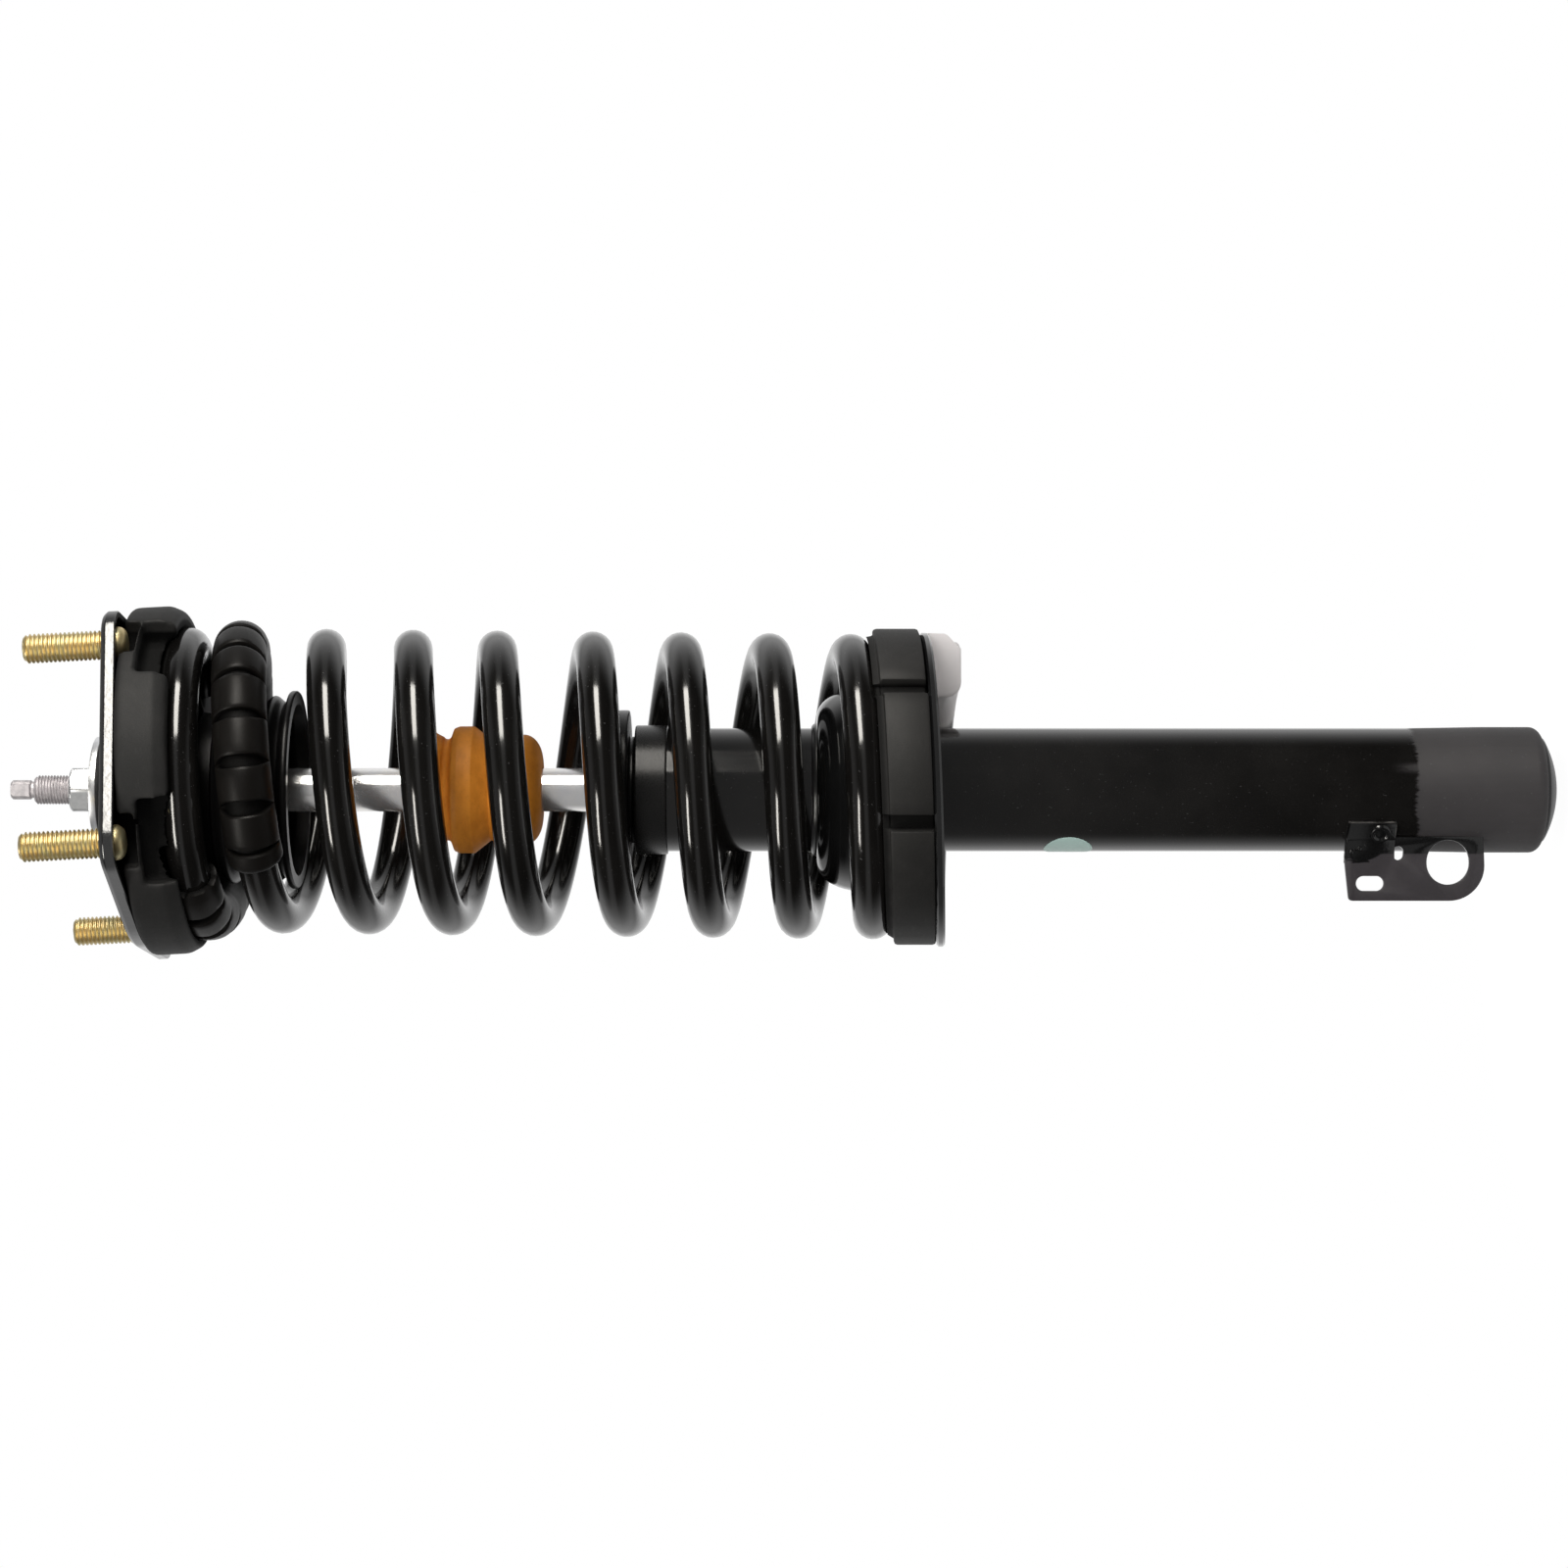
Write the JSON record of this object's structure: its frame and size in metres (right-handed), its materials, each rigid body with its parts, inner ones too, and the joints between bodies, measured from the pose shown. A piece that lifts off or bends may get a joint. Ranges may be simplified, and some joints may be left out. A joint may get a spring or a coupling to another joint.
{
  "type": "strut assembly",
  "caption": "Loaded suspension strut: tilted stud plate with bushing, coil spring between rubber isolators, bump stop on a chrome rod, and a sliding damper tube with clamp end and bracket.",
  "frame": {"origin": "where the strut axis meets the outer face of the top mount plate", "axes": "+Z along the strut axis towards the vehicle's strut tower; +X towards the side that the mount plate rises to; -Y towards the locating bracket's face"},
  "size_m": [0.1482, 0.1523, 0.6393],
  "materials": {
    "gloss_black_paint": "gloss black paint",
    "satin_black_paint": "satin black coating",
    "spring_paint": "gloss black powder coat",
    "dark_rubber": "matte dark grey rubber",
    "black_plastic": "satin black thermoplastic",
    "yellow_zinc": "yellow zinc plating",
    "bare_steel": "plain machined steel",
    "chrome_rod": "ground hard chrome",
    "ochre_urethane": "ochre cellular urethane",
    "bronze_band": "bronze-filled low-friction band",
    "mint_sticker": "plain mint green sticker"
  },
  "bodies": {
    "top_mount_and_rod": {"mount_plate": "gloss_black_paint", "mount_studs": "yellow_zinc", "bushing_housing": "satin_black_paint", "bushing_rubber": "dark_rubber", "bushing_sleeve": "bare_steel", "upper_washer": "bare_steel", "rod_nut": "bare_steel", "upper_isolator": "dark_rubber", "bumper_cup": "satin_black_paint", "dust_boot": "black_plastic", "piston_rod": "chrome_rod", "rebound_bumper": "dark_rubber", "stop_ring": "bare_steel", "piston": "bare_steel", "piston_band": "bronze_band", "piston_valve_discs": "bare_steel", "piston_nut": "bare_steel", "coil_spring": "spring_paint", "spring_sleeve": "dark_rubber"},
    "jounce_bumper": {"jounce_bumper": "ochre_urethane"},
    "damper_tube": {"reserve_tube": "gloss_black_paint", "striker_cap": "black_plastic", "rod_seal": "dark_rubber", "rod_guide": "bare_steel", "pressure_tube": "bare_steel", "base_valve": "bare_steel", "base_cap": "satin_black_paint", "lower_spring_seat": "gloss_black_paint", "seat_weld": "satin_black_paint", "lower_isolator": "dark_rubber", "locating_bracket": "satin_black_paint", "side_label": "mint_sticker"}
  },
  "joints": [
    {"name": "damper_stroke", "type": "slide", "parent": "top_mount_and_rod", "child": "damper_tube", "axis": [0, 0, 1], "range_m": [0, 0.105], "stiffness_N_per_m": 30000, "deforming": ["coil_spring", "spring_sleeve"]},
    {"name": "bumper_slide", "type": "slide", "parent": "top_mount_and_rod", "child": "jounce_bumper", "axis": [0, 0, 1], "range_m": [0, 0.075]}
  ],
  "couplings": [
    {"joint": "bumper_slide", "follows": "damper_stroke", "ratio": 0.71429}
  ]
}
